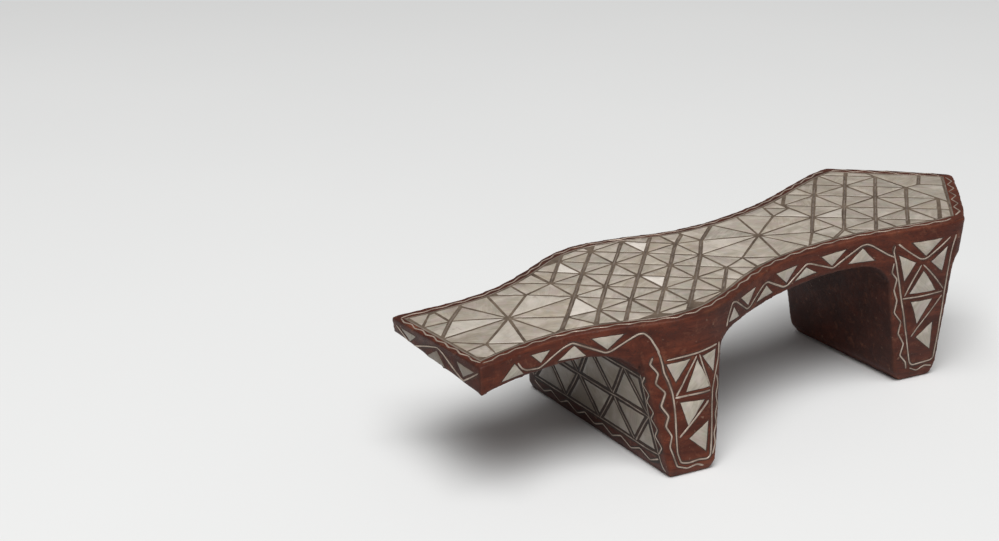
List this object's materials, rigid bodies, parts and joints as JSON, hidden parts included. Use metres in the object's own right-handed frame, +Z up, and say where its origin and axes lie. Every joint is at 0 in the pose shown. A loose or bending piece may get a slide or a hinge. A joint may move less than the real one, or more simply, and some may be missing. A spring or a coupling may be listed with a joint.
{
  "type": "bath clog",
  "caption": "Carved wooden stilted bath clog with a waisted, pointed-heel sole on two splayed stilts, inlaid with shell tiles, dark mastic seams and fine metal wire",
  "frame": {"origin": "Centre of the outline's bounding box, on the floor the stilts stand on", "axes": "+X towards the toe, +Y towards the flank named left, +Z up"},
  "size_m": [0.24, 0.0946, 0.0672],
  "materials": {
    "wood": "worn, waxed, rounded edges",
    "shell": "mother of pearl, polished, striated",
    "wire": "soft pewter-coloured metal, hammered in, dulled",
    "mastic": "dark resin filler, matt, grainy"
  },
  "bodies": {
    "root": {"wood_body": "wood", "top_mastic_bed": "mastic", "toe_star_tiles": "shell", "toe_corner_tiles": "shell", "ball_front_tiles": "shell", "ball_lattice_tiles": "shell", "waist_front_tiles": "shell", "waist_star_tiles": "shell", "waist_rear_tiles": "shell", "heel_lattice_tiles": "shell", "heel_tip_tiles": "shell", "top_cross_wires": "wire", "top_liner_wire": "wire", "top_border_wire": "wire", "toe_end_tiles": "shell", "toe_end_wire": "wire", "left_toe_frieze_tiles": "shell", "right_toe_frieze_tiles": "shell", "left_arch_tiles": "shell", "right_arch_tiles": "shell", "left_front_stilt_tiles": "shell", "right_front_stilt_tiles": "shell", "left_rear_stilt_tiles": "shell", "right_rear_stilt_tiles": "shell", "left_toe_frieze_wire": "wire", "right_toe_frieze_wire": "wire", "left_arch_wire": "wire", "right_arch_wire": "wire", "left_front_stilt_wires": "wire", "right_front_stilt_wires": "wire", "left_rear_stilt_wires": "wire", "right_rear_stilt_wires": "wire", "front_stilt_face_tiles": "shell", "front_stilt_face_wires": "wire", "rear_stilt_back_tiles": "shell", "rear_stilt_back_wires": "wire", "left_heel_edge_tiles": "shell", "right_heel_edge_tiles": "shell", "left_heel_edge_wire": "wire", "right_heel_edge_wire": "wire"}
  },
  "joints": []
}
